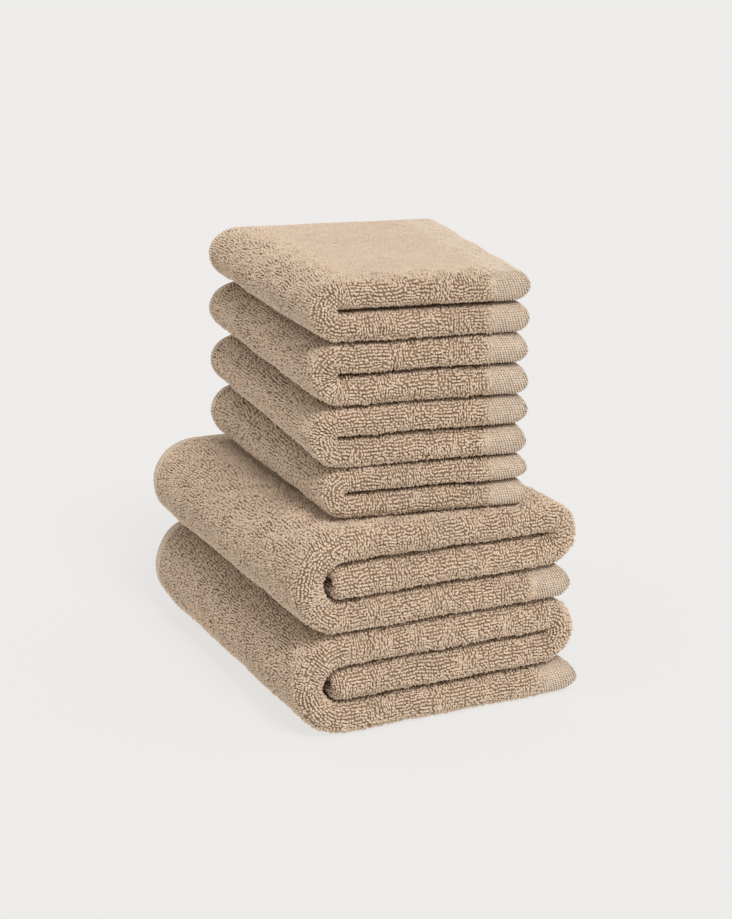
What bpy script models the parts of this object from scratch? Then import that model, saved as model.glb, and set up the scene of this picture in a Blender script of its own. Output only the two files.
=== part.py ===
"""A bath towel set: four folded hand towels stacked on two folded bath towels.

Units are metres and +Z is up. The origin is on the surface that the stack stands on, under the middle
of the stack. +X runs along the front to the right, and +Y to the back.
"""

import math

import bmesh
import bpy
from mathutils import Matrix, Vector

# Bath towels: each is folded in half both ways, then in three, as a letter is
BATH_WIDTH = 0.255
BATH_LEFT = -0.1305  # their left side, with the origin under the middle of the whole stack
BATH_DEPTH = 0.335
BATH_LAYER = 0.029  # height of one of the three layers
BATH_PLIES = 4  # thicknesses of cloth in a layer
BATH_BORDER = 0.032  # woven border at the ends of the towel
BATH_SET_BACKS = (0.001, 0.009)  # the ends stop this short of the fold above them, lower towel first
BATH_FALLS = (0.0, 0.13)  # how much thinner each is at the back than at the front, lower towel first
BATH_SIDE_HEM = 0.013
BATH_INNER_END = 0.003  # from the centre of the left fold to the end tucked inside it

# Hand towels: each is folded in three towards the front, then in half at the left
HAND_WIDTH = 0.181
HAND_DEPTH = 0.278
HAND_LAYERS = (0.0215, 0.0255, 0.026, 0.026)  # height of a layer, lowest towel first
HAND_FALLS = (-0.20, 0.07, 0.08, 0.06)  # how much thinner each is at the back than at the front
HAND_BORDER = 0.030

# The hand towels' pile
PILE_LEFT = 0.0250  # its front left corner, from the bath towels' left side
PILE_FRONT = 0.025  # and from their front
PILE_TURN = math.radians(-6.0)  # turned a little clockwise, seen from above
PILE_TAPER = 0.19  # how much wider a hand towel is at the back than at the front
PILE_TAPER_FROM = 0.036  # it widens both ways from a line this far from its left side

# Fit
LAYER_GAP = 0.0012  # between two layers of one towel
REST_GAP = 0.0003  # between pieces that touch
BORDER_RELIEF = 0.001  # a woven border is this much thinner than terry on each face
BACK_ROUND = 0.003  # rounding of a layer's back corners
BORDER_ROUND = 0.004  # rounding of a hand towel border's free end

# Smoothness of the round stretches
FOLD_STEPS = 8  # in a quarter turn of a fold
FRONT_STEPS = 8
CORNER_STEPS = 2
ROUND_STEPS = 2
WELD = 0.00001

BATH_HEIGHT = 3 * BATH_LAYER - LAYER_GAP

TERRY_COLOR = (0.62, 0.50, 0.38, 1.0)
BORDER_COLOR = (0.66, 0.54, 0.42, 1.0)
HEM_COLOR = (0.60, 0.49, 0.37, 1.0)
CLOTH_ROUGHNESS = 0.95


def clear_scene():
    """Removes every object and collection made before."""
    for piece in list(bpy.data.objects):
        bpy.data.objects.remove(piece, do_unlink=True)
    for group in list(bpy.data.collections):
        bpy.data.collections.remove(group)


def new_collection(name):
    """A collection in the scene."""
    group = bpy.data.collections.new(name)
    bpy.context.scene.collection.children.link(group)
    return group


def cloth_material(name, color):
    """A matte cloth colour."""
    material = bpy.data.materials.new(name)
    material.use_nodes = True
    shader = material.node_tree.nodes["Principled BSDF"]
    shader.inputs["Base Color"].default_value = color
    shader.inputs["Roughness"].default_value = CLOTH_ROUGHNESS
    shader.inputs["Metallic"].default_value = 0.0
    material.diffuse_color = color
    return material


def arc(center, radius, start, end, steps):
    """Points on an arc, with its angles in degrees."""
    angles = [math.radians(start + (end - start) * i / steps) for i in range(steps + 1)]
    return [(center[0] + radius * math.cos(a), center[1] + radius * math.sin(a)) for a in angles]


def layer_section(front, back, thickness):
    """A layer seen from its side: round at the front fold, with small round corners at the back."""
    half = thickness / 2
    corner = min(BACK_ROUND, half * 0.9)
    points = arc((front + half, 0), half, 90, 270, FRONT_STEPS)
    points += arc((back - corner, corner - half), corner, 270, 360, CORNER_STEPS)
    points += arc((back - corner, half - corner), corner, 0, 90, CORNER_STEPS)
    return points


def hem_section(front, back, thickness):
    """A hem strip seen from its side: flat at the front, with small round corners at the back."""
    half = thickness / 2
    corner = min(BACK_ROUND, half * 0.9)
    points = [(front, half), (front, -half)]
    points += arc((back - corner, corner - half), corner, 270, 360, CORNER_STEPS)
    points += arc((back - corner, half - corner), corner, 0, 90, CORNER_STEPS)
    return points


def wrap_section(front, back, thickness, ply):
    """The outer ply, which wraps round the front of those inside it, seen from its side."""
    half = thickness / 2
    inner = half - ply
    points = arc((front + half, 0), half, 90, 270, FRONT_STEPS)
    points += [(back, -half), (back, -inner)]
    points += arc((front + half, 0), inner, 270, 90, FRONT_STEPS)
    points += [(back, inner), (back, half)]
    return points


def guide_curve(name, points, group, cyclic):
    """A curve of straight runs through the points, kept out of renders."""
    data = bpy.data.curves.new(name, "CURVE")
    data.dimensions = "2D"
    data.fill_mode = "NONE"
    spline = data.splines.new("POLY")
    spline.points.add(len(points) - 1)
    for point, (x, y) in zip(spline.points, points):
        point.co = (x, y, 0, 1)
    spline.use_cyclic_u = cyclic
    guide = bpy.data.objects.new(name, data)
    guide.hide_render = True
    guide.display_type = "WIRE"
    group.objects.link(guide)
    return guide


def swept_mesh(name, path, section, guides):
    """A closed mesh: a section, given as depth and height, carried along a path that lies in XZ."""
    profile = guide_curve(name + "_section", [(height, -depth) for depth, height in section], guides, True)
    run = guide_curve(name + "_path", path, guides, False)
    run.data.bevel_mode = "OBJECT"
    run.data.bevel_object = profile
    run.data.use_fill_caps = True
    bpy.context.view_layer.update()
    depsgraph = bpy.context.evaluated_depsgraph_get()
    mesh = bpy.data.meshes.new_from_object(run.evaluated_get(depsgraph))
    mesh.name = name
    for guide in (run, profile):
        bpy.data.curves.remove(guide.data)
    mesh.transform(Matrix.Rotation(math.pi / 2, 4, "X"))
    body = bmesh.new()
    body.from_mesh(mesh)
    bmesh.ops.remove_doubles(body, verts=body.verts, dist=WELD)
    bmesh.ops.recalc_face_normals(body, faces=body.faces)
    body.to_mesh(mesh)
    body.free()
    return mesh


def add_empty(name, group, location, turn=0.0, parent=None):
    """The empty that carries a towel's pieces."""
    empty = bpy.data.objects.new(name, None)
    empty.empty_display_size = 0.05
    empty.location = location
    empty.rotation_euler = (0, 0, turn)
    empty.parent = parent
    group.objects.link(empty)
    return empty


def add_piece(name, mesh, material, group, parent, round_end=0.0):
    """One named piece of a towel, with its free end rounded where a size is given."""
    piece = bpy.data.objects.new(name, mesh)
    mesh.materials.clear()
    mesh.materials.append(material)
    mesh.shade_smooth()
    mesh.set_sharp_from_angle(angle=math.radians(40))
    group.objects.link(piece)
    piece.parent = parent
    if round_end:
        bevel = piece.modifiers.new("round_end", "BEVEL")
        bevel.limit_method = "ANGLE"
        bevel.angle_limit = math.radians(60)
        bevel.width = round_end
        bevel.segments = ROUND_STEPS
    return piece


def bath_fold_path(thickness, end):
    """The middle line of a bath towel's fold: from the outer border at end, round the left, and back."""
    low = thickness / 2
    left = low + BATH_LAYER
    right = BATH_WIDTH - low - BATH_LAYER / 2
    path = [(end - BATH_BORDER - REST_GAP, low)]
    path += arc((left, low + BATH_LAYER), BATH_LAYER, 270, 90, 2 * FOLD_STEPS)
    path += arc((right, low + BATH_LAYER * 1.5), BATH_LAYER / 2, 90, -90, 2 * FOLD_STEPS)
    path += [(left + BATH_INNER_END, low + BATH_LAYER)]
    return path


def build_bath_towel(name, base, set_back, fall, materials, group, guides):
    """One bath towel: its terry, the hem along its sides, and the woven borders at its two ends."""
    towel = add_empty(name, group, (BATH_LEFT, -BATH_DEPTH / 2, base))
    thickness = BATH_LAYER - LAYER_GAP
    woven = thickness - 2 * BORDER_RELIEF
    ply = woven / BATH_PLIES
    end = BATH_WIDTH - set_back
    fold = bath_fold_path(thickness, end)
    end_run = [(end, thickness / 2), (end - BATH_BORDER, thickness / 2)]
    hem_front = BATH_DEPTH - BATH_SIDE_HEM
    inside = BORDER_RELIEF + ply + REST_GAP
    pieces = (
        ("terry", fold, layer_section(0, hem_front - REST_GAP, thickness)),
        ("hem", fold, hem_section(hem_front, BATH_DEPTH, woven)),
        ("outer_border", end_run, wrap_section(BORDER_RELIEF, BATH_DEPTH, woven, ply)),
        ("inner_border", end_run, layer_section(inside, BATH_DEPTH, woven - 2 * (ply + REST_GAP))),
    )
    for part, path, section in pieces:
        mesh = swept_mesh(f"{name}_{part}", path, section, guides)
        for vertex in mesh.vertices:
            vertex.co.z *= 1 - fall * vertex.co.y / BATH_DEPTH
        add_piece(f"{name}_{part}", mesh, materials[part.split("_")[-1]], group, towel)
    return towel


def hand_towel_runs(layer):
    """The middle lines of a hand towel's fold, from its lower border to its upper one, and of those."""
    low = (layer - LAYER_GAP) / 2
    middle = low + layer / 2
    border = HAND_WIDTH - HAND_BORDER
    fold = [(border - REST_GAP, low)]
    fold += arc((middle, middle), layer / 2, 270, 90, 2 * FOLD_STEPS)
    fold += [(border - REST_GAP, low + layer)]
    upper_border = [(HAND_WIDTH, low + layer), (border, low + layer)]
    lower_border = [(HAND_WIDTH, low), (border, low)]
    return fold, upper_border, lower_border


def keep_half(mesh, height, side):
    """Cuts a mesh level at a height, and keeps what is above it (side 1) or below it (side -1)."""
    body = bmesh.new()
    body.from_mesh(mesh)
    geometry = [*body.verts, *body.edges, *body.faces]
    cut = (0, 0, height + side * REST_GAP / 2)
    bmesh.ops.bisect_plane(body, geom=geometry, plane_co=cut, plane_no=(0, 0, side), clear_inner=True)
    bmesh.ops.holes_fill(body, edges=[edge for edge in body.edges if edge.is_boundary])
    bmesh.ops.recalc_face_normals(body, faces=body.faces)
    body.to_mesh(mesh)
    body.free()


def placed_in_pile(point, fall, drop):
    """Where a point of a flat hand towel lies in the pile. The towel widens towards the back and is thinner
    there by its fall. It follows the slope of the bath towels, and at its back the drop of the towels between."""
    share = point.y / HAND_DEPTH
    across = point.x + (point.x - PILE_TAPER_FROM) * PILE_TAPER * share
    from_front = PILE_FRONT + across * math.sin(PILE_TURN) + point.y * math.cos(PILE_TURN)
    below = drop * share + from_front * BATH_FALLS[-1] * BATH_HEIGHT / BATH_DEPTH
    return Vector((across, point.y, point.z * (1 - fall * share) - below))


def build_hand_towel(name, layer, base, fall, drop, opens, materials, group, guides, pile):
    """One hand towel: its terry, and the woven border at the end of each half. One that opens has its
    terry parted at the left fold, and its upper half hangs on an empty there."""
    towel = add_empty(name, group, (0, 0, base), parent=pile)
    thickness = layer - LAYER_GAP
    fold, upper_border, lower_border = hand_towel_runs(layer)
    half_height = thickness / 2 + layer / 2
    hinge = placed_in_pile(Vector((0, 0, half_height)), fall, drop)
    upper = add_empty(name + "_flap", group, hinge, parent=towel) if opens else towel
    terry = layer_section(0, HAND_DEPTH, thickness)
    border = layer_section(BORDER_RELIEF, HAND_DEPTH, thickness - 2 * BORDER_RELIEF)
    terry_pieces = (("upper_terry", 1, upper), ("lower_terry", -1, towel)) if opens else (("terry", 0, towel),)
    pieces = [(part, fold, terry, side, parent) for part, side, parent in terry_pieces]
    pieces += [("upper_border", upper_border, border, 0, upper), ("lower_border", lower_border, border, 0, towel)]
    for part, path, section, side, parent in pieces:
        mesh = swept_mesh(f"{name}_{part}", path, section, guides)
        if side:
            keep_half(mesh, half_height, side)
        for vertex in mesh.vertices:
            vertex.co = placed_in_pile(vertex.co, fall, drop)
        if parent is not towel:
            mesh.transform(Matrix.Translation(-hinge))
        finish = part.split("_")[-1]
        round_end = BORDER_ROUND if finish == "border" else 0
        add_piece(f"{name}_{part}", mesh, materials[finish], group, parent, round_end)
    return towel


def main():
    """Builds the whole stack, from the bottom up."""
    clear_scene()
    group = new_collection("bath_towel_set")
    guides = new_collection("guides")
    materials = {
        "terry": cloth_material("terry", TERRY_COLOR),
        "border": cloth_material("border", BORDER_COLOR),
        "hem": cloth_material("hem", HEM_COLOR),
    }
    base = 0.0
    for name, set_back, fall in zip(("bath_towel_lower", "bath_towel_upper"), BATH_SET_BACKS, BATH_FALLS):
        build_bath_towel(name, base, set_back, fall, materials, group, guides)
        base += BATH_HEIGHT + REST_GAP
    place = (BATH_LEFT + PILE_LEFT, PILE_FRONT - BATH_DEPTH / 2, base)
    pile = add_empty("hand_towel_pile", group, place, PILE_TURN)
    base, drop = 0.0, 0.0
    for i, (layer, fall) in enumerate(zip(HAND_LAYERS, HAND_FALLS)):
        opens = i == len(HAND_LAYERS) - 1
        build_hand_towel(f"hand_towel_{i + 1}", layer, base, fall, drop, opens, materials, group, guides, pile)
        height = 2 * layer - LAYER_GAP
        base += height + REST_GAP
        drop += fall * height


main()
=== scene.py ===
"""A folded bath towel set: the looks of two terry bath towels with four hand towels on them.

Each towel is one sheet of cloth laid along its folds, with its loops, its woven ends and its side hems
made as geometry where they show.
"""

import math

import bpy
import numpy as np
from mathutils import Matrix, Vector


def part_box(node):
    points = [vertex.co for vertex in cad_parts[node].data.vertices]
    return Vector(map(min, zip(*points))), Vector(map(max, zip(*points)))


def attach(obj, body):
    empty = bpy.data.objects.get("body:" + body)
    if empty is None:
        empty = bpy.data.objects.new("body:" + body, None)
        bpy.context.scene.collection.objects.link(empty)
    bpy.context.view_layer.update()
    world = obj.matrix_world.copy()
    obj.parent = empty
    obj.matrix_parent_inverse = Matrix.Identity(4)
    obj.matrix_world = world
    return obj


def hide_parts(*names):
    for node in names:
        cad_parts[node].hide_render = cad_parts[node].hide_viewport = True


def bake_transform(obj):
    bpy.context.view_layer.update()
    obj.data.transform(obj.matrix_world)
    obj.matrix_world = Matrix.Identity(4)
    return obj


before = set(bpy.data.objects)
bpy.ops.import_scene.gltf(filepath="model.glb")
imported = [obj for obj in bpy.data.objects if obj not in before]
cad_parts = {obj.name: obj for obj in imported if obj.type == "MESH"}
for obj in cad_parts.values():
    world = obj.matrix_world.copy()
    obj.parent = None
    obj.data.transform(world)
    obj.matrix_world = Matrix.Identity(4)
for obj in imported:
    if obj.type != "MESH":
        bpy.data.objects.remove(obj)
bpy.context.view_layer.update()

bl_info = {
    "name": "Folded Towels",
    "version": (1, 0, 0),
    "blender": (4, 5, 0),
    "location": "3D View > Sidebar > Towels",
    "description": "Builds a stack of folded terry towels round its frame",
    "category": "Add Mesh",
}

MM = 0.001
BATH_NAMES = ("bath_towel_lower", "bath_towel_upper")
HAND_NAMES = ("hand_towel_1", "hand_towel_2", "hand_towel_3", "hand_towel_4")
FLAP = "hand_towel_4_flap"

BATH_BOXES = [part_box(name + "_terry") for name in BATH_NAMES]
BATH_LEFT = BATH_BOXES[0][0][0]
BATH_FRONT = BATH_BOXES[0][0][1]
BATH_WIDTH = BATH_BOXES[0][1][0] - BATH_LEFT
BATH_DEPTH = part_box("bath_towel_lower_hem")[1][1] - BATH_FRONT
LAYER_GAP = 1.2 * MM
REST_GAP = 0.3 * MM
WOVEN_RELIEF = 1.2 * MM
END_ROUND = 10 * MM
END_THIN = 0.42
UNDER_TERRY = 3 * MM
LUMPY_REACH = 4 * MM
SIDE_REACH = 10 * MM
LOWEST_REACH = 45 * MM
LOWEST_INSET = 9 * MM
FRONT_RIM = 6 * MM
WOVEN_RIM = 14 * MM
PILE_MARGIN = 14 * MM
HEM_EDGE = 2.6 * MM
BATH_HEM = 13 * MM
HAND_HEM = 9 * MM
BATH_BACK_RIM = 20 * MM
HAND_BACK_RIM = 18 * MM
SWELL_SHARE = 0.9
CLOTH_PITCH = 5 * MM
TURN_STEPS = 6
MOST_BEADS = 9000
BEAD_SIDES = 6
BEAD_RINGS = ((1.0, 0.0), (0.86, 0.68))
BAND_HALF = 0.35 * MM
INNER_HEIGHT = 0.9
TWILL_SLANT = math.radians(38)
TWILL_SHIFT = 0.38
GROOVE_WIDTH = 7.2 * MM
RIPPLE_WAVES = 7
RIPPLE_GAIN = 1.6

BRIGHTEST_WAY = (-0.1, -0.45, 0.7)
KEY_STRENGTH = 1.6
KEY_TILT = math.radians(42)
KEY_WIDTH = math.radians(20)
FLOOR_SIZE = 60.0
BACKDROP_RADIUS = 29.0
CAMERA_AZIMUTH = math.radians(-25.2)
CAMERA_ELEVATION = math.radians(17.7)
CAMERA_DISTANCE = 1.966
CAMERA_TARGET = Vector((0.0035, -0.0075, 0.1764))
CAMERA_LENS = 90.1


# ---------------------------------------------------------------- folds

class Path:
    """A run of straight and round stretches in one plane, measured along itself from its start."""

    def __init__(self, start, heading):
        self.corner, self.heading = np.array(start, float), heading
        self.length, self.stretches = 0.0, []

    def go(self, length, turn=0.0):
        """Adds a stretch that turns evenly through an angle, to the left where it is positive."""
        self.stretches.append((self.length, length, *self.corner, self.heading, turn / length))
        self.corner = self.at(self.length + length)
        self.length += length
        self.heading += turn
        return self

    def bend(self, radius, turn):
        """Adds a round stretch of that radius."""
        return self.go(radius * abs(turn), turn)

    def stretch_of(self, s):
        """Which stretch each place lies in."""
        starts = [stretch[0] for stretch in self.stretches]
        return np.clip(np.searchsorted(starts, s, side="right") - 1, 0, len(starts) - 1)

    def at(self, s, left=0.0):
        """The points s along the path, moved to its left."""
        start, _, x, y, heading, bend = np.array(self.stretches).T[:, self.stretch_of(s)]
        run = s - start
        turned = run * bend
        chord = run * np.sinc(turned / math.tau)
        facing = heading + turned
        return np.array((
            x + chord * np.cos(heading + turned / 2) - left * np.sin(facing),
            y + chord * np.sin(heading + turned / 2) + left * np.cos(facing),
        ))

    def growth(self, s, left):
        """How much longer the path is when it is drawn to its left."""
        bends = np.array([stretch[5] for stretch in self.stretches])
        return 1 - left * bends[self.stretch_of(s)]

    def spread(self, pitch, left=0.0, least=1):
        """Places along the path that lie a pitch apart when it is drawn to its left."""
        places = []
        for start, length, _, _, _, bend in self.stretches:
            count = max(least, round(length * (1 - left * bend) / pitch))
            places.append(start + length * (np.arange(count) + 0.5) / count)
        return np.concatenate(places)

    def ticks(self, pitch, least):
        """Places along the path for a grid, both ends and each stretch's ends among them."""
        places = [np.zeros(1)]
        for start, length, _, _, _, bend in self.stretches:
            count = max(least if bend else 2, round(length / pitch))
            places.append(start + length * np.arange(1, count + 1) / count)
        return np.concatenate(places)


def smooth_step(x, low, high):
    """0 below low, 1 above high, and a smooth rise between them."""
    t = np.clip((x - low) / (high - low), 0, 1)
    return t * t * (3 - 2 * t)


def ripple(seed, size, *places):
    """A smooth wandering value in about -1 to 1 that changes over distances of that size."""
    draw = np.random.default_rng(seed)
    total = 0.0
    for _ in range(RIPPLE_WAVES):
        way = draw.normal(size=len(places))
        way *= math.tau / size / np.linalg.norm(way) * draw.uniform(0.6, 1.5)
        total = total + np.sin(sum(w * p for w, p in zip(way, places)) + draw.uniform(0, math.tau))
    return total / RIPPLE_WAVES * RIPPLE_GAIN


# ---------------------------------------------------------------- towels

class Towel:
    """One folded towel: where any point of its cloth lies. s runs along the fold that shows at the front,
    v along the folds that show at the side, and out is the height above the cloth's middle."""

    def __init__(self, name, layer, depth, plies, seed):
        self.name, self.layer, self.depth, self.seed = name, layer, depth, seed
        self.thickness = layer - LAYER_GAP
        self.ply = self.thickness / plies
        self.half_cloth = self.ply / 2
        self.turn, self.end_growth, self.reach = 0.0, 1.0, SIDE_REACH
        self.opens = False

    def cloth(self, s, v, out):
        """Where the sheet itself lies, which may go on past the end of the fold."""
        return self.place(s, v, out)

    def place(self, s, v, out):
        """Where a point lies in the stack."""
        y, n = self.section.at(v, -out)
        x, z = self.fold.at(s, n * self.end_profile(s))
        return self.settle(x, y, z)

    def end_profile(self, s):
        """How thick the folded layer is near its woven ends, which are rounded."""
        end = np.minimum(s, np.where(self.two_ends, self.fold.length - s, 1.0))
        past = 1 - np.clip(end / END_ROUND, 0, 1)
        return END_THIN + (1 - END_THIN) * np.sqrt(np.maximum(1 - past * past, 0))

    def rumple(self, x, y, z):
        """The unevenness of soft cloth."""
        seed = self.seed * 10
        dx = 0.9 * MM * ripple(seed + 1, 0.07, y, z)
        dy = 1.1 * MM * ripple(seed + 2, 0.08, x, z * 3)
        dz = 0.7 * MM * ripple(seed + 3, 0.09, x, y)
        if self.opens:
            dz = dz * smooth_step(np.abs(z - self.middle), 1 * MM, 9 * MM)
        return x + dx, y + dy, z + dz


class BathTowel(Towel):
    """Halved crosswise and lengthwise, then folded in three with its closed end tucked in."""

    def __init__(self, index, settings, pile):
        height = BATH_BOXES[index][1][2] - BATH_BOXES[index][0][2]
        layer = (height + LAYER_GAP) / 3
        super().__init__(BATH_NAMES[index], layer, BATH_DEPTH, 4, index + 1)
        self.base = BATH_BOXES[index][0][2]
        self.fall = settings.bath_falls[index]
        self.set_back = settings.bath_set_backs[index]
        self.pile = pile
        self.border = settings.bath_border
        self.hem, self.hem_folds, self.back_rim = BATH_HEM, False, BATH_BACK_RIM
        low, half = self.thickness / 2, self.thickness / 2
        left = low + layer
        right = BATH_WIDTH - low - layer / 2
        start = BATH_WIDTH - self.set_back
        self.fold = Path((start, low), math.pi)
        self.fold.go(start - left).bend(layer, -math.pi).go(right - left).bend(layer / 2, -math.pi)
        self.fold.go(right - left - settings.inner_end)
        self.centre = half - self.half_cloth
        self.section = Path((self.depth, self.centre), math.pi)
        self.section.go(self.depth - half).bend(self.centre, math.pi).go(self.depth - half)
        self.turn, self.end_growth = math.pi * self.ply / 2, 1.6
        self.sheet_length = 2 * self.fold.length + self.turn
        self.flat = (2 * settings.bath_flat_half_width, 2 * settings.bath_flat_half_length)
        self.two_ends, self.terry_end = False, self.fold.length + 1

    def cloth(self, s, v, out):
        s, v, out = np.broadcast_arrays(s, v, out)
        swing = np.clip((s - self.fold.length) / self.turn, 0, 1) * math.pi
        radius = self.ply / 2 + out
        along = np.minimum(s, self.fold.length) - np.maximum(s - self.fold.length - self.turn, 0)
        return self.place(along + radius * np.sin(swing), v, radius * np.cos(swing) - self.ply / 2)

    def settle(self, x, y, z):
        x, y, z = self.rumple(x, y, z)
        share = y / self.depth
        z = np.maximum(z, 0.2 * MM)
        if self.pile:
            z = z + self.pile.swell(x, y) * smooth_step(z, 0.5 * self.layer, 3 * self.layer)
        z = z * (1 - self.fall * share)
        x = x + tuck(x, y, self.depth, BATH_WIDTH)
        return np.array((x + BATH_LEFT, y + BATH_FRONT, z + self.base))


def tuck(x, y, depth, width):
    """The fold draws in a little at its back corner."""
    near = smooth_step(y, depth - 0.05, depth)
    return 2 * MM * near * near * np.clip(1 - x / (0.4 * width), 0, 1)


class HandTowel(Towel):
    """Folded in three towards the front, then in half at the left."""

    def __init__(self, index, settings, pile):
        layer = settings.hand_layers[index]
        super().__init__(HAND_NAMES[index], layer, settings.hand_depth, 3, index + 5)
        self.base, self.fall, self.drop, self.pile = pile.base, settings.hand_falls[index], pile.drop, pile
        self.width, self.border = settings.hand_width, settings.hand_border
        self.inset, self.reach = (0.0, SIDE_REACH) if index else (LOWEST_INSET, LOWEST_REACH)
        self.opens = index == len(HAND_NAMES) - 1
        self.hem, self.hem_folds, self.back_rim = HAND_HEM, True, HAND_BACK_RIM
        low, half = self.thickness / 2, self.thickness / 2
        middle = low + layer / 2
        self.middle = middle
        self.fold = Path((self.width, low), math.pi)
        self.fold.go(self.width - middle).bend(layer / 2, -math.pi).go(self.width - middle)
        self.centre = half - self.half_cloth
        self.section = Path((self.depth, self.centre), math.pi)
        self.section.go(self.depth - half).bend(self.centre, math.pi).go(self.depth - half - self.ply)
        self.section.bend(self.ply / 2, math.pi).go(self.depth - half - self.ply - 4 * MM)
        self.flat = (settings.hand_flat_width, settings.hand_flat_length)
        self.sheet_length = self.fold.length
        self.two_ends, self.terry_end = True, self.fold.length - self.border

    def settle(self, x, y, z):
        x, y, z = self.rumple(x, y, z)
        inset = np.clip(1 - x / self.width, 0, 1) * np.clip(1 - y / self.depth, 0, 1)
        return self.pile.place(x + self.inset * inset, y, z, self)


class Pile:
    """Where the hand towels lie on the bath towels."""

    def __init__(self, settings, slope, floor):
        self.settings, self.slope, self.floor = settings, slope, floor
        self.base, self.drop = 0.0, 0.0

    def from_edge(self, x, y):
        """How far a place on the bath towel lies outside the pile's foot, less than nothing inside it, and
        how far it lies from the foot's left side."""
        c = self.settings
        x, y = x - c.pile_left, y - c.pile_front
        along = y * math.cos(c.pile_turn) - x * math.sin(c.pile_turn)
        across = x * math.cos(c.pile_turn) + y * math.sin(c.pile_turn)
        share = np.clip(along / c.hand_depth, 0, 1)
        left = -c.taper_from * c.taper * share
        right = c.hand_width + (c.hand_width - c.taper_from) * c.taper * share
        return np.maximum.reduce((-along, along - c.hand_depth, left - across, across - right)), across

    def swell(self, x, y):
        """How much higher the bath towel is under the pile's left side and round it."""
        outside, across = self.from_edge(x, y)
        c = self.settings
        tilt = SWELL_SHARE * c.pile_tilt * np.clip(1 - across / c.hand_width, 0, 1.1)
        return tilt * (1 - smooth_step(outside, 4 * MM, 30 * MM))

    def add(self, towel):
        """Makes room for a towel."""
        height = 2 * towel.layer - LAYER_GAP
        self.base += height + REST_GAP
        self.drop += towel.fall * height

    def place(self, x, y, z, towel):
        """From a flat towel to its place in the pile: it widens to the back and follows the slope
        below it, and the whole pile is tilted."""
        c = self.settings
        share = y / towel.depth
        across = x + (x - c.taper_from) * c.taper * share
        sin, cos = math.sin(c.pile_turn), math.cos(c.pile_turn)
        back = c.pile_front + across * sin + y * cos
        height = towel.base + z * (1 - towel.fall * share) - towel.drop * share - back * self.slope
        height = height + c.pile_tilt * (1 - across / c.hand_width)
        return np.array((
            BATH_LEFT + c.pile_left + across * cos - y * sin,
            BATH_FRONT + back,
            self.floor + height,
        ))


# ---------------------------------------------------------------- meshes

def mesh_from(name, points, corners, starts, uvs, attributes):
    """A mesh from arrays of points, face corners and where each face starts in them."""
    mesh = bpy.data.meshes.new(name)
    mesh.vertices.add(len(points))
    mesh.vertices.foreach_set("co", np.ascontiguousarray(points, np.float32).ravel())
    mesh.loops.add(len(corners))
    mesh.loops.foreach_set("vertex_index", corners.astype(np.int32))
    mesh.polygons.add(len(starts))
    mesh.polygons.foreach_set("loop_start", starts.astype(np.int32))
    mesh.update(calc_edges=True)
    layer = mesh.uv_layers.new(name="OFBake")
    layer.data.foreach_set("uv", np.ascontiguousarray(uvs[corners], np.float32).ravel())
    for key, values in attributes.items():
        mesh.attributes.new(key, "FLOAT", "POINT").data.foreach_set("value", values.astype(np.float32))
    mesh.shade_smooth()
    return mesh


def add_object(name, mesh, material):
    """The mesh as an object of the scene with its material."""
    piece = bpy.data.objects.new(name, mesh)
    mesh.materials.append(material)
    bpy.context.scene.collection.objects.link(piece)
    return piece


def sheet_mesh(towel, pitch, half_thickness, open_top):
    """The whole folded cloth: two faces and the rim between them. Where bold or lumpy loops stand on it, it
    is painted dark with the shade that falls between the loops, and elsewhere it is near the colour of their
    lit tops."""
    along = towel.fold.ticks(pitch, 12)
    if towel.sheet_length > towel.fold.length:
        turn = towel.fold.length + towel.turn * np.arange(1, TURN_STEPS + 1) / TURN_STEPS
        along = np.concatenate((along, turn, (towel.sheet_length - along[::-1])[1:]))
    across = towel.section.ticks(pitch, 8)
    rows, columns = len(along), len(across)
    s, v = np.meshgrid(along, across, indexing="ij")
    half = half_thickness(s, v)
    faces = [towel.cloth(s, v, half), towel.cloth(s, v, -half)]
    points = np.concatenate([face.reshape(3, -1).T for face in faces])
    number = np.arange(rows * columns).reshape(rows, columns)
    quad = np.stack((number[:-1, :-1], number[1:, :-1], number[1:, 1:], number[:-1, 1:]), -1).reshape(-1, 4)
    rim = np.concatenate((number[0, :-1], number[:-1, -1], number[-1, :0:-1], number[:0:-1, 0]))
    after = np.roll(rim, -1)
    below = rows * columns
    side = np.stack((rim, after, after + below, rim + below), -1)
    quads = np.concatenate((quad, quad[:, ::-1] + below, side[:, ::-1]))
    u = (s / towel.sheet_length * 0.48 + 0.01).ravel()
    w = (v / towel.section.length * 0.98 + 0.01).ravel()
    uvs = np.concatenate((np.stack((u, w), -1), np.stack((u + 0.5, w), -1)))
    corners = quads.ravel()
    edge = np.minimum(s, towel.sheet_length - s)
    y, n = towel.section.at(v, 0.0)
    near = showing(towel, {"s": s, "v": v, "n": n}, open_top, 0.0, towel.back_rim)
    painted_shade_share = np.maximum(boldness(towel, edge, y), round_neighbour(towel, edge, LUMPY_REACH))
    side = np.minimum(v, towel.section.length - v)
    painted_shade_share = np.where(near & (edge > towel.border + 6 * MM) & (side > towel.hem), painted_shade_share, 0)
    # Painted light of the cloth: 0.85 where it is bare, down to 0.15 of painted shade under the boldest
    # loops.
    tip = np.tile((0.85 - 0.7 * painted_shade_share).ravel(), 2)
    starts = np.arange(0, len(corners), 4)
    return mesh_from(towel.name + "_cloth", points, corners, starts, uvs, {"tip": tip})


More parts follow.
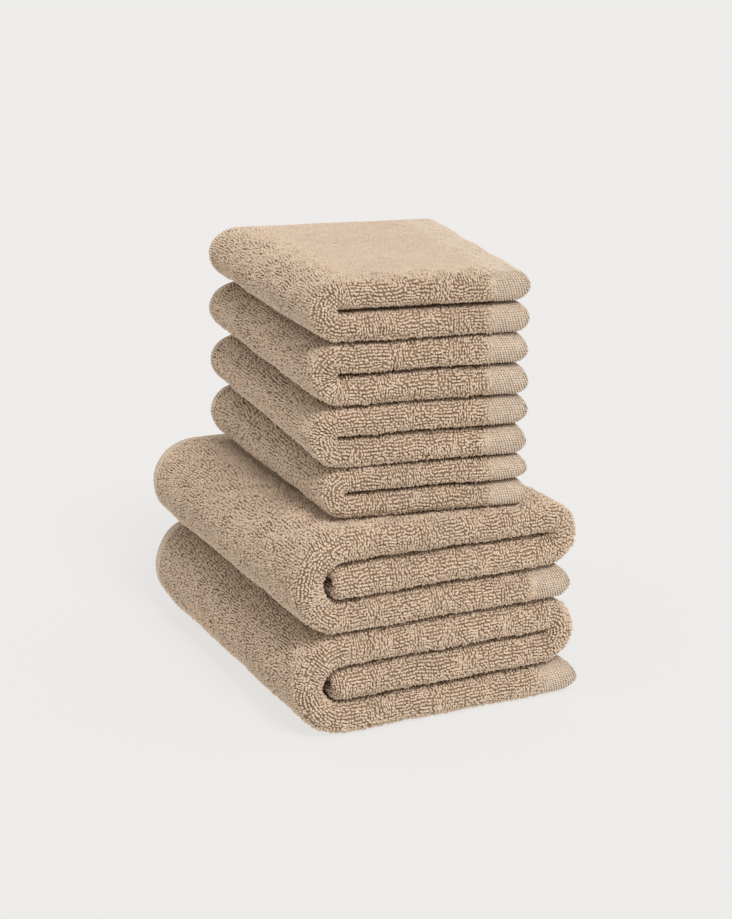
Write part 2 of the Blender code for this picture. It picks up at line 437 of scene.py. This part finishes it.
def bead_shape():
    """A loop of yarn seen as a small bean: its points, face corners, face starts and map."""
    angles = np.arange(BEAD_SIDES) * math.tau / BEAD_SIDES
    circle = np.stack((np.cos(angles), np.sin(angles)), -1)
    rings = [np.column_stack((r * circle, np.full(BEAD_SIDES, h))) for r, h in BEAD_RINGS]
    points = np.concatenate(rings + [np.array([[0.0, 0.0, 1.0]])])
    faces = []
    for ring in range(len(BEAD_RINGS) - 1):
        for i in range(BEAD_SIDES):
            a, b = ring * BEAD_SIDES + i, ring * BEAD_SIDES + (i + 1) % BEAD_SIDES
            faces.append((a, b, b + BEAD_SIDES, a + BEAD_SIDES))
    last = (len(BEAD_RINGS) - 1) * BEAD_SIDES
    faces += [(last + i, last + (i + 1) % BEAD_SIDES, len(points) - 1) for i in range(BEAD_SIDES)]
    faces.append(tuple(range(BEAD_SIDES))[::-1])
    corners = np.array([i for face in faces for i in face])
    starts = np.cumsum([0] + [len(face) for face in faces[:-1]])
    return points, corners, starts


def beads_meshes(towel, size, beads, sink):
    """The beads split into meshes of at most MOST_BEADS beads each. The beads as meshes
    that are each small enough to be kept whole.
    """
    count = len(beads["s"])
    parts = math.ceil(count / MOST_BEADS)
    for part in range(parts):
        name = f"{towel.name}_{size.name}" + (f"_{part + 1}" if parts > 1 else "")
        rows = slice(part * count // parts, (part + 1) * count // parts)
        yield beads_mesh(towel, name, (size.pale, size.bright), only(beads, rows), sink)


def beads_mesh(towel, name, shades, beads, sink):
    """Beads as one mesh, with painted shade at their bases rising to a painted highlight at their tops. Each
    bead has s, v, out, length, width, height, angle and strand, and both ways its lean and the growth of the
    surface there."""
    shape, corners, starts = bead_shape()
    count = len(beads["s"])
    p, q, r = (shape[:, i][None, :] for i in range(3))
    cos, sin = np.cos(beads["angle"])[:, None], np.sin(beads["angle"])[:, None]
    length, width = beads["length"][:, None] / 2, beads["width"][:, None] / 2
    lean = r * r
    along = p * length * cos - q * width * sin + lean * beads["lean_s"][:, None]
    across = p * length * sin + q * width * cos + lean * beads["lean_v"][:, None]
    s = beads["s"][:, None] + along / beads["grow_s"][:, None]
    v = beads["v"][:, None] + across / beads["grow_v"][:, None]
    out = beads["out"][:, None] - sink + r * (beads["height"][:, None] + sink)
    points = towel.cloth(s, v, out).reshape(3, -1).T
    offsets = np.arange(count)[:, None]
    all_corners = (corners[None, :] + offsets * len(shape)).ravel()
    all_starts = (starts[None, :] + offsets * len(corners)).ravel()
    cells = math.ceil(math.sqrt(count))
    cell = np.stack((np.arange(count) % cells, np.arange(count) // cells), -1)
    spot = shape[:, :2] * (1 - 0.55 * shape[:, 2:3]) * 0.42 + 0.5
    uvs = ((cell[:, None, :] + spot[None, :, :]) / cells).reshape(-1, 2)
    attributes = {
        # Painted light up each bead, from the painted shade at its base to the painted highlight at its top.
        "tip": np.tile(shades[0] + (shades[1] - shades[0]) * shape[:, 2], count),
        "strand": np.repeat(beads["strand"], len(shape)),
    }
    return mesh_from(name, points, all_corners, all_starts, uvs, attributes)


def rows_of(towel, pitch, row_pitch, surface):
    """Places for beads over the outer face of the cloth, in rows along the fold."""
    found = []
    for v in towel.section.spread(row_pitch, -surface, 3):
        n = towel.section.at(v, -surface)[1]
        s = towel.fold.spread(pitch, n, 1)
        grow = towel.fold.growth(s, n)
        if towel.turn:
            count = round(towel.turn * towel.end_growth / pitch)
            s = np.append(s, towel.fold.length + towel.turn * (np.arange(count) + 0.5) / count)
            grow = np.append(grow, np.full(count, towel.end_growth))
        found.append(np.stack((s, np.full_like(s, v), grow, np.full_like(s, n)), -1))
    rows = np.concatenate(found)
    s, v, grow_s, n = rows.T
    grow_v = towel.section.growth(v, -surface)
    keep = grow_s > 0.12
    return {"s": s[keep], "v": v[keep], "grow_s": grow_s[keep], "grow_v": grow_v[keep], "n": n[keep]}


def only(beads, keep):
    """The beads for which keep is true."""
    return {key: values[keep] for key, values in beads.items()}


def showing(towel, beads, open_top, rim, back_rim):
    """Which beads can be seen: those near an edge, round a fold, or on an open top."""
    y = towel.section.at(beads["v"], 0.0)[0]
    stretch = towel.fold.stretch_of(beads["s"])
    front = y < towel.thickness / 2 + rim
    tucked = (beads["s"] > towel.fold.length - 4 * MM) & (y < 0.05) & bool(towel.turn)
    back = y > towel.depth - back_rim
    outside = beads["n"] > 0.3 * towel.thickness
    round_fold = outside & (stretch % 2 == 1)
    near_fold = outside & round_neighbour(towel, beads["s"], towel.reach)
    return front | back | tucked | round_fold | near_fold | (outside & open_top(towel, beads, y, stretch))


def round_neighbour(towel, s, reach):
    """Whether each place is within reach of a round stretch of the fold."""
    near = np.zeros(s.shape, bool)
    for start, length, _, _, _, bend in towel.fold.stretches:
        if bend:
            near |= (s > start - reach) & (s < start + length + reach)
    return near


def no_top(towel, beads, y, stretch):
    """For a towel with another on all of it."""
    return np.zeros(y.shape, bool)


def whole_top(towel, beads, y, stretch):
    """For the towel on top."""
    return stretch == 2


def top_round_pile(pile, margin):
    """For the bath towel that the pile stands on: its top outside the pile's foot."""
    def open_top(towel, beads, y, stretch):
        x = towel.fold.at(beads["s"], 0.0)[0]
        return (stretch == 2) & (pile.from_edge(x, y)[0] > -margin)

    return open_top


def finish_beads(towel, beads, draw, size):
    """Gives each bead its size, turn and lean. Grooves between the rows make the boldest loops lie in
    strings, with patches of shorter and wider ones."""
    count = len(beads["s"])
    x, y, z = towel.place(beads["s"], beads["v"], beads["out"])
    clump = ripple(towel.seed + 40, 0.011, x, y, z)
    swirl = ripple(towel.seed + 60, 0.022, x, y, z)
    beads["s"] = beads["s"] + draw.normal(0, size.stray, count) * size.pitch / beads["grow_s"]
    beads["v"] = beads["v"] + draw.normal(0, size.stray * 0.8, count) * size.pitch / beads["grow_v"]
    beads["length"] = size.length * draw.uniform(0.8, 1.2, count)
    beads["width"] = size.width * draw.uniform(0.85, 1.15, count)
    beads["height"] = size.height * (1 + 0.28 * clump) * draw.uniform(0.75, 1.2, count)
    sway = 2.4 * ripple(towel.seed + 50, 0.035, x, y, z)
    groove = np.cos(math.tau * beads["v"] / GROOVE_WIDTH + sway)
    beads["height"] = beads["height"] * (1 - 0.3 * size.fingers * smooth_step(groove, 0.1, 1.0))
    fingers = smooth_step(ripple(towel.seed + 70, 0.03, x, y, z), 0.05, 0.3) * size.fingers
    beads["width"] = beads["width"] * (1 + 0.75 * fingers)
    beads["length"] = beads["length"] * (1 - 0.36 * fingers)
    beads["angle"] = size.swirl * swirl * (1 - 0.6 * fingers) + draw.normal(0, size.jitter, count)
    if towel.opens:
        inside = beads["n"] < 0
        low = np.minimum(beads["height"], INNER_HEIGHT * size.height)
        beads["height"] = np.where(inside, low, beads["height"])
    beads["lean_s"] = draw.normal(0, size.lean, count)
    beads["lean_v"] = draw.normal(0, size.lean, count)
    beads["strand"] = draw.uniform(0, 1, count)
    return beads


class Loops:
    """The size of one kind of loop, how light its painted shade is at the base, and how bright its painted
    highlight is at the top.
    """

    def __init__(self, name, pitch, row_pitch, length, width, height, stray, swirl, jitter, lean, pale):
        self.name, self.pitch, self.row_pitch = name, pitch, row_pitch
        self.length, self.width, self.height = length, width, height
        self.stray, self.swirl, self.jitter, self.lean, self.pale = stray, swirl, jitter, lean, pale
        self.fingers = 1.0 if height > 2 * MM else 0.0
        # pale and bright are the two ends of each bead's painted light: painted shade at the base, painted
        # highlight at the top.
        self.bright = 0.84 if height < 0.5 * MM else 1.0


BOLD = Loops("bold_loops", 2.2 * MM, 2.6 * MM, 2.8 * MM, 2.05 * MM, 2.5 * MM, 0.17, 0.5, 0.25, 0.4 * MM, 0.0)
LUMPY = Loops("round_loops", 2.8 * MM, 2.8 * MM, 2.9 * MM, 2.45 * MM, 1.8 * MM, 0.2, 0.8, 0.5, 0.2 * MM, 0.05)
FINE = Loops("flat_loops", 2.1 * MM, 1.9 * MM, 3.0 * MM, 2.1 * MM, 0.45 * MM, 0.2, 1.4, 0.7, 0.2 * MM, 0.62)
TWILL = Loops("weave", 2.3 * MM, 1.9 * MM, 2.8 * MM, 1.3 * MM, 1.0 * MM, 0.03, 0.0, 0.05, 0.0, 0.2)
HEM = Loops("side_hem", 2.4 * MM, 3.4 * MM, 4.2 * MM, 2.1 * MM, 0.5 * MM, 0.04, 0.0, 0.06, 0.0, 0.4)


def wander(towel, beads):
    """Moves the rows together, so that they wind a little over the cloth."""
    x, y, z = towel.place(beads["s"], beads["v"], 0.0)
    beads["v"] = beads["v"] + 1.2 * MM * ripple(towel.seed + 80, 0.02, x, y, z) / beads["grow_v"]
    beads["s"] = beads["s"] + 1.0 * MM * ripple(towel.seed + 81, 0.016, x, y, z) / beads["grow_s"]
    return beads


def boldness(towel, s, y):
    """1 at the front and on the shoulder of the left fold, where the loops stand out, and 0 elsewhere."""
    front = 1 - smooth_step(y, 14 * MM, 46 * MM)
    start, length = towel.fold.stretches[1][:2]
    rise = smooth_step(s, start + 0.25 * length, start + 0.5 * length)
    end = start + length
    return np.maximum(front, 0.9 * rise * (1 - smooth_step(s, end + 2 * MM, end + 20 * MM)))


def in_hem(towel, beads):
    """Whether each bead lies on a hemmed side of the cloth."""
    side = beads["v"]
    if not towel.hem_folds:
        side = np.minimum(side, towel.section.length - side)
    return side < towel.hem


def loop_meshes(towel, open_top):
    """The towel's loops: bold near the front, lumpy round its folds, and fine and flat on top."""
    draw = np.random.default_rng(towel.seed)
    for kind, size in enumerate((BOLD, LUMPY, FINE)):
        surface = towel.half_cloth - size.height
        beads = rows_of(towel, size.pitch, size.row_pitch, surface)
        terry = (beads["s"] > towel.border) & (beads["s"] < towel.terry_end)
        seen = showing(towel, beads, open_top, FRONT_RIM, towel.back_rim)
        beads = only(beads, terry & ~in_hem(towel, beads) & seen)
        bold = boldness(towel, beads["s"], towel.section.at(beads["v"], 0.0)[0])
        lumpy = round_neighbour(towel, beads["s"], LUMPY_REACH)
        x, y, z = towel.place(beads["s"], beads["v"], surface)
        pick = 0.5 + 0.45 * ripple(towel.seed + 90, 0.014, x, y, z)
        beads = only(beads, np.where(pick < bold, 0, np.where(lumpy, 1, 2)) == kind)
        beads["out"] = np.full(len(beads["s"]), surface)
        yield from beads_meshes(towel, size, finish_beads(towel, wander(towel, beads), draw, size), 1.2 * MM)


def woven_meshes(towel, open_top):
    """The slanting ribs of the towel's woven ends."""
    draw = np.random.default_rng(towel.seed + 20)
    surface = towel.half_cloth - WOVEN_RELIEF
    beads = rows_of(towel, TWILL.pitch, TWILL.row_pitch, surface)
    ends = beads["s"] < towel.border + 0.5 * MM
    edge = beads["s"] < 6 * MM
    if towel.two_ends:
        ends |= beads["s"] > towel.terry_end - 0.5 * MM
        edge |= beads["s"] > towel.fold.length - 6 * MM
    seen = edge | showing(towel, beads, open_top, FRONT_RIM, WOVEN_RIM)
    beads = only(beads, ends & ~in_hem(towel, beads) & seen)
    beads["out"] = np.full(len(beads["s"]), surface)
    beads = finish_beads(towel, beads, draw, TWILL)
    beads["angle"] += TWILL_SLANT
    end = np.minimum(beads["s"], towel.fold.length - beads["s"]) if towel.two_ends else beads["s"]
    beads["height"] *= np.clip(end / (5 * MM), 0.25, 1)
    beads["s"] += TWILL.pitch * (np.mod(beads["v"] / TWILL.row_pitch * TWILL_SHIFT, 1.0) - 0.5)
    return beads_meshes(towel, TWILL, beads, 0.3 * MM)


def hem_meshes(towel):
    """The ribs of stitching over the hemmed sides of the cloth."""
    draw = np.random.default_rng(towel.seed + 30)
    surface = towel.half_cloth - HEM.height
    beads = rows_of(towel, HEM.pitch, HEM.row_pitch, surface)
    edge = np.minimum(beads["v"], towel.section.length - beads["v"])
    beads = only(beads, in_hem(towel, beads) & (edge > HEM_EDGE))
    beads["out"] = np.full(len(beads["s"]), surface)
    beads = finish_beads(towel, beads, draw, HEM)
    beads["angle"] += math.pi / 2
    return beads_meshes(towel, HEM, beads, 1.0 * MM)


# ---------------------------------------------------------------- shaders

class Wire:
    """A node's output, with arithmetic that adds Math nodes."""

    def __init__(self, nodes, socket):
        self.nodes, self.socket = nodes, socket

    def _math(self, operation, a, b):
        return self.nodes.add("ShaderNodeMath", {"operation": operation}, {0: a, 1: b})

    def __add__(self, other):
        return self._math("ADD", self, other)

    def __sub__(self, other):
        return self._math("SUBTRACT", self, other)

    def __rsub__(self, other):
        return self._math("SUBTRACT", other, self)

    def __mul__(self, other):
        return self._math("MULTIPLY", self, other)

    def __pow__(self, other):
        return self._math("POWER", self, other)

    __radd__, __rmul__ = __add__, __mul__


class Nodes:
    """The node tree of one material or world."""

    def __init__(self, owner, shader):
        owner.use_nodes = True
        self.owner, self.tree = owner, owner.node_tree
        self.shader = self.tree.nodes[shader]

    def feed(self, node, key, value):
        """Sets or links one input."""
        if isinstance(value, Wire):
            self.tree.links.new(value.socket, node.inputs[key])
        else:
            node.inputs[key].default_value = value

    def add(self, kind, settings=None, inputs=None, output=0):
        """A node of that kind: its settings first, then its inputs."""
        node = self.tree.nodes.new(kind)
        for key, value in (settings or {}).items():
            setattr(node, key, value)
        for key, value in (inputs or {}).items():
            self.feed(node, key, value)
        return Wire(self, node.outputs[output])

    def noise(self, where, scale, detail=2.0, roughness=0.5):
        """A noise value in 0 to 1."""
        return self.add("ShaderNodeTexNoise", {}, {
            "Vector": where, "Scale": scale, "Detail": detail, "Roughness": roughness})

    def mix(self, factor, a, b):
        """A colour between two."""
        settings = {"data_type": "RGBA", "clamp_factor": True}
        return self.add("ShaderNodeMix", settings, {0: factor, 6: a, 7: b}, 2)

    def tint(self, color, value):
        """A colour made lighter or darker by a value."""
        return self.add("ShaderNodeVectorMath", {"operation": "SCALE"}, {0: color, "Scale": value})


def cloth_shader(name, root, tip, settings, fibre, ground=False):
    """Cotton: painted shade at the roots of its loops and a painted highlight on their tops, strands that
    differ and a fine fibre on them.
    """
    nodes = Nodes(bpy.data.materials.new(name), "Principled BSDF")
    where = nodes.add("ShaderNodeTexCoord", output=3)
    # How much painted light each point gets: 0 is the painted shade between the loops, 1 the painted
    # highlight on their tops.
    height = nodes.add("ShaderNodeAttribute", {"attribute_name": "tip"}, output=2)
    strand = nodes.add("ShaderNodeAttribute", {"attribute_name": "strand"}, output=2)
    broad = nodes.noise(where, 14.0, 2.0)
    blotch = nodes.noise(where, 110.0, 2.0)
    fuzz = nodes.noise(where, 1500.0, 3.0, 0.65)
    # The power keeps the painted highlight to the very tops of the loops and leaves their sides in painted
    # shade.
    color = nodes.mix(height ** 1.25, root, tip)
    light = 0.86 + strand * 0.1 + (broad - 0.5) * 0.16 + (blotch - 0.5) * 0.16
    light = light + (fuzz - 0.5) * settings.fuzz_color
    bumps = fuzz
    if ground:
        cells = nodes.add("ShaderNodeTexVoronoi", {"feature": "F1"}, {"Vector": where, "Scale": 430.0})
        bumps = fuzz * 0.4 - cells * 1.6
        light = light + 0.1 - cells * 0.42
    nodes.feed(nodes.shader, "Base Color", nodes.tint(color, light))
    nodes.feed(nodes.shader, "Roughness", 0.9 + (fuzz - 0.5) * 0.15)
    normal = nodes.add("ShaderNodeBump", {}, {"Strength": fibre, "Distance": 0.0008, "Height": bumps})
    nodes.feed(nodes.shader, "Normal", normal)
    nodes.shader.inputs["Sheen Weight"].default_value = settings.sheen
    nodes.shader.inputs["Sheen Roughness"].default_value = 0.5
    nodes.shader.inputs["Sheen Tint"].default_value = (*settings.tip_color, 1.0)
    nodes.shader.inputs["Specular IOR Level"].default_value = 0.2
    return nodes.owner


def floor_shader(settings):
    """A plain matt floor."""
    nodes = Nodes(bpy.data.materials.new("studio_floor"), "Principled BSDF")
    where = nodes.add("ShaderNodeTexCoord", output=3)
    light = 1.0 + (nodes.noise(where, 3.0) - 0.5) * 0.004
    nodes.feed(nodes.shader, "Base Color", nodes.tint((*settings.floor_color,), light))
    nodes.shader.inputs["Roughness"].default_value = 1.0
    nodes.shader.inputs["Specular IOR Level"].default_value = 0.0
    nodes.shader.inputs["Emission Color"].default_value = (*settings.floor_glow, 1.0)
    nodes.shader.inputs["Emission Strength"].default_value = 0.80
    return nodes.owner


def backdrop_shader():
    """The pale wall of the studio, far behind."""
    nodes = Nodes(bpy.data.materials.new("studio_backdrop"), "Principled BSDF")
    nodes.shader.inputs["Base Color"].default_value = (0, 0, 0, 1)
    nodes.shader.inputs["Specular IOR Level"].default_value = 0.0
    nodes.shader.inputs["Emission Color"].default_value = (0.86, 0.85, 0.83, 1)
    nodes.shader.inputs["Emission Strength"].default_value = 1.0
    return nodes.owner


def world_shader(world):
    """Even studio light, a little brighter from above, in front and to the left."""
    nodes = Nodes(world, "Background")
    ways = nodes.add("ShaderNodeTexCoord", output=0)
    inputs = {0: ways, 1: BRIGHTEST_WAY}
    toward = nodes.add("ShaderNodeVectorMath", {"operation": "DOT_PRODUCT"}, inputs, 1)
    nodes.feed(nodes.shader, "Color", (1.0, 0.985, 0.965, 1.0))
    nodes.feed(nodes.shader, "Strength", 0.45 + toward * 0.34)


# ---------------------------------------------------------------- settings

def size_setting(name, default, description):
    """A size in metres."""
    return bpy.props.FloatProperty(
        name=name, default=default, description=description, subtype="DISTANCE", unit="LENGTH", precision=4)


def color_setting(name, default, description):
    """A colour."""
    return bpy.props.FloatVectorProperty(
        name=name, default=default, description=description, subtype="COLOR", size=3, min=0.0, max=1.0)


class TowelSettings(bpy.types.PropertyGroup):
    """Sizes of the folded towels."""

    bath_falls: bpy.props.FloatVectorProperty(
        name="Bath towel falls", default=(0.0, 0.13), size=2,
        description="How much thinner each bath towel is at the back, lower one first")
    bath_set_backs: bpy.props.FloatVectorProperty(
        name="End set-backs", default=(0.001, 0.009), size=2, unit="LENGTH", precision=4,
        description="How far each bath towel's ends stop short of the fold above them")
    bath_border: size_setting("Bath border", 0.032, "Width of a bath towel's woven end")
    inner_end: size_setting("Tucked end", -0.003, "From the left fold's centre to the end tucked in it")
    bath_flat_half_width: size_setting("Half flat width", 0.345, "Half a bath towel's flat width")
    bath_flat_half_length: size_setting("Half flat length", 0.70, "Half a bath towel's flat length")
    hand_width: size_setting("Hand width", 0.181, "Width of a folded hand towel at the front")
    hand_depth: size_setting("Hand depth", 0.278, "Depth of a folded hand towel")
    hand_layers: bpy.props.FloatVectorProperty(
        name="Hand layers", default=(0.0215, 0.0255, 0.026, 0.026), size=4, unit="LENGTH",
        description="Height of a layer of each hand towel, lowest first", precision=4)
    hand_falls: bpy.props.FloatVectorProperty(
        name="Hand falls", default=(-0.20, 0.07, 0.08, 0.06), size=4,
        description="How much thinner each hand towel is at the back, lowest first")
    hand_border: size_setting("Hand border", 0.030, "Width of a hand towel's woven ends")
    hand_flat_width: size_setting("Hand flat width", 0.40, "A hand towel's size across its woven ends")
    hand_flat_length: size_setting("Hand flat length", 0.82, "A hand towel's size along its woven ends")
    pile_left: size_setting("Pile left", 0.025, "From the bath towels' left side to the pile's corner")
    pile_front: size_setting("Pile front", 0.025, "From the bath towels' front to the pile's corner")
    pile_turn: bpy.props.FloatProperty(
        name="Pile turn", default=math.radians(-6.0), subtype="ANGLE",
        description="How far the pile is turned")
    pile_tilt: size_setting("Pile tilt", 0.0055, "How much higher the pile's left side lies")
    taper: bpy.props.FloatProperty(
        name="Taper", default=0.19, description="How much wider the pile is at the back")
    taper_from: size_setting("Taper from", 0.036, "The line that stays straight, from the pile's left side")


class LookSettings(bpy.types.PropertyGroup):
    """Colours of the cloth and the floor."""

    # Painted shade: the dark colour put down between the loops, where shade falls.
    painted_shade_color: color_setting("Loop roots", (0.38, 0.25, 0.155), "Colour down between the loops")
    # The cotton's colour, made lighter as the painted highlight on the loops' tops.
    tip_color: color_setting("Loop tips", (0.96, 0.775, 0.60), "Colour of the loops")
    woven_color: color_setting("Woven ends", (1.0, 0.83, 0.665), "Colour of the woven ends")
    floor_color: color_setting("Floor", (0.16, 0.158, 0.154), "Colour of the floor")
    floor_glow: color_setting("Floor glow", (0.87, 0.86, 0.845), "Light that the floor itself gives")
    sheen: bpy.props.FloatProperty(
        name="Sheen", default=0.28, min=0.0, max=1.0, description="Soft glow of the nap")
    fuzz_color: bpy.props.FloatProperty(
        name="Fuzz", default=0.25, min=0.0, max=1.0, description="Difference in colour between fibres")


def towel_settings():
    """The scene's sizes."""
    return bpy.context.scene.folded_towels


def look_settings():
    """The scene's colours."""
    return bpy.context.scene.folded_towel_looks


# ---------------------------------------------------------------- building

def shared_material(name, make):
    """A material by name, made when it is first asked for."""
    return bpy.data.materials.get(name) or make()


def terry_material():
    """The loops' cotton."""
    look = look_settings()
    return shared_material("terry_loops", lambda: cloth_shader(
        "terry_loops", (*look.painted_shade_color, 1), (*look.tip_color, 1), look, 0.5))


def ground_material():
    """The cloth under the loops."""
    look = look_settings()
    return shared_material("terry_ground", lambda: cloth_shader(
        "terry_ground", (*look.painted_shade_color, 1), (*look.tip_color, 1), look, 0.8, ground=True))


def woven_material():
    """The woven ends and the side hems."""
    look = look_settings()
    # The woven ribs get painted shade at their roots, 0.45 of the woven colour, and the woven colour on their
    # tops.
    return shared_material("woven_end", lambda: cloth_shader(
        "woven_end", (*[0.45 * c for c in look.woven_color], 1), (*look.woven_color, 1), look, 0.5))


def build_towel(towel, nodes, open_top, body, bend=None):
    """One towel's cloth, loops and woven ends, riding on its body, or baked in place when a bend is given."""
    def half_thickness(s, v):
        edge = np.minimum(s, towel.sheet_length - s)
        side = np.minimum(v, towel.section.length - v)
        place = edge if towel.turn else s
        y = towel.section.at(v, 0.0)[0]
        lumpy = round_neighbour(towel, place, LUMPY_REACH)
        relief = np.where(lumpy, LUMPY.height, FINE.height)
        relief = relief + (BOLD.height - relief) * boldness(towel, place, y)
        relief = np.where(side < towel.hem, HEM.height, relief)
        woven = place < towel.border + UNDER_TERRY
        woven |= (place > towel.terry_end - UNDER_TERRY) & towel.two_ends
        half = towel.half_cloth - np.where(woven, WOVEN_RELIEF, relief)
        return half * (0.65 + 0.35 * np.sqrt(np.clip(np.minimum(edge, side) / (4 * MM), 0, 1)))

    mesh = sheet_mesh(towel, CLOTH_PITCH, half_thickness, open_top)
    cloth = add_object(mesh.name, mesh, ground_material())
    pieces = [(cloth, "terry")]
    for mesh in loop_meshes(towel, open_top):
        pieces.append((add_object(mesh.name, mesh, terry_material()), "terry"))
    for meshes, slot in ((woven_meshes(towel, open_top), "woven_border"), (hem_meshes(towel), "side_hem")):
        for mesh in meshes:
            pieces.append((add_object(mesh.name, mesh, woven_material()), slot))
    for piece, slot in pieces:
        if bend:
            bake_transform(piece)
        else:
            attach(piece, body)
    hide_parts(*nodes)


class TOWELS_OT_bath(bpy.types.Operator):
    """Make the two bath towels"""

    bl_idname = "towels.bath"
    bl_label = "Bath Towels"
    bl_options = {"REGISTER", "UNDO"}

    def execute(self, context):
        pile = make_pile()
        for index, name in enumerate(BATH_NAMES):
            towel = BathTowel(index, towel_settings(), pile if index else None)
            nodes = [f"{name}_{part}" for part in ("terry", "hem", "outer_border", "inner_border")]
            open_top = top_round_pile(pile, PILE_MARGIN) if index else no_top
            build_towel(towel, nodes, open_top, name)
        return {"FINISHED"}


def make_pile():
    """The place for the hand towels on the bath towels."""
    settings = towel_settings()
    upper = BATH_BOXES[1]
    height = upper[1][2] - upper[0][2]
    return Pile(settings, settings.bath_falls[1] * height / BATH_DEPTH, upper[1][2] + REST_GAP)


class TOWELS_OT_hand(bpy.types.Operator):
    """Make the four hand towels"""

    bl_idname = "towels.hand"
    bl_label = "Hand Towels"
    bl_options = {"REGISTER", "UNDO"}

    def execute(self, context):
        pile = make_pile()
        for index, name in enumerate(HAND_NAMES):
            towel = HandTowel(index, towel_settings(), pile)
            parts = ("upper_terry", "lower_terry") if towel.opens else ("terry",)
            nodes = [f"{name}_{part}" for part in parts + ("upper_border", "lower_border")]
            bend = fold_band(towel) if towel.opens else None
            build_towel(towel, nodes, whole_top if towel.opens else no_top, name, bend)
            pile.add(towel)
        return {"FINISHED"}


def fold_band(towel):
    """The thin band between the top towel's halves where its cloth passes from one body to the other."""
    middle = towel.middle
    corners = [towel.pile.place(x, y, middle, towel) for x, y in ((0.0, 0.0), (0.1, 0.0), (0.0, 0.1))]
    normal = np.cross(corners[1] - corners[0], corners[2] - corners[0])
    normal *= BAND_HALF / np.linalg.norm(normal)
    return HAND_NAMES[-1], FLAP, tuple(corners[0] - normal), tuple(corners[0] + normal)


class TOWELS_OT_stage(bpy.types.Operator):
    """Make the floor, the lights and the camera"""

    bl_idname = "towels.stage"
    bl_label = "Stage"
    bl_options = {"REGISTER", "UNDO"}

    def execute(self, context):
        scene = context.scene
        bpy.ops.mesh.primitive_grid_add(x_subdivisions=4, y_subdivisions=4, size=FLOOR_SIZE)
        floor = context.object
        floor.name = "studio_floor"
        floor.data.materials.append(floor_shader(look_settings()))
        bpy.ops.mesh.primitive_uv_sphere_add(segments=48, ring_count=24, radius=BACKDROP_RADIUS)
        backdrop = context.object
        backdrop.name = "studio_backdrop"
        backdrop.data.materials.append(backdrop_shader())
        backdrop.visible_diffuse = backdrop.visible_glossy = backdrop.visible_shadow = False
        scene.world = bpy.data.worlds.new("studio")
        world_shader(scene.world)
        lamp = bpy.data.lights.new("key", "SUN")
        lamp.energy, lamp.angle = KEY_STRENGTH, KEY_WIDTH
        light = bpy.data.objects.new("key", lamp)
        light.rotation_euler = (KEY_TILT, 0, 0)
        scene.collection.objects.link(light)
        lens = bpy.data.cameras.new("camera")
        camera = bpy.data.objects.new("camera", lens)
        scene.collection.objects.link(camera)
        lens.sensor_fit, lens.sensor_height, lens.lens = "VERTICAL", 36.0, CAMERA_LENS
        level = math.cos(CAMERA_ELEVATION)
        back = Vector((
            math.sin(CAMERA_AZIMUTH) * level, -math.cos(CAMERA_AZIMUTH) * level, math.sin(CAMERA_ELEVATION)))
        camera.location = CAMERA_TARGET + back * CAMERA_DISTANCE
        camera.rotation_euler = back.to_track_quat("Z", "Y").to_euler()
        scene.camera = camera
        scene.view_settings.view_transform = "Standard"
        return {"FINISHED"}


class TOWELS_PT_panel(bpy.types.Panel):
    """The towels' tools and sizes"""

    bl_idname = "TOWELS_PT_panel"
    bl_label = "Folded Towels"
    bl_space_type = "VIEW_3D"
    bl_region_type = "UI"
    bl_category = "Towels"

    def draw(self, context):
        layout = self.layout
        for operator in OPERATORS:
            layout.operator(operator.bl_idname)
        for group in (towel_settings(), look_settings()):
            for name in group.bl_rna.properties.keys():
                if name not in ("rna_type", "name"):
                    layout.prop(group, name)


OPERATORS = (TOWELS_OT_stage, TOWELS_OT_bath, TOWELS_OT_hand)
CLASSES = (TowelSettings, LookSettings, *OPERATORS, TOWELS_PT_panel)


def register():
    for cls in CLASSES:
        bpy.utils.register_class(cls)
    bpy.types.Scene.folded_towels = bpy.props.PointerProperty(type=TowelSettings)
    bpy.types.Scene.folded_towel_looks = bpy.props.PointerProperty(type=LookSettings)


def unregister():
    del bpy.types.Scene.folded_towel_looks
    del bpy.types.Scene.folded_towels
    for cls in reversed(CLASSES):
        bpy.utils.unregister_class(cls)


def main():
    """Makes everything in order."""
    register()
    bpy.ops.towels.stage()
    bpy.ops.towels.bath()
    bpy.ops.towels.hand()


if __name__ == "__main__":
    main()
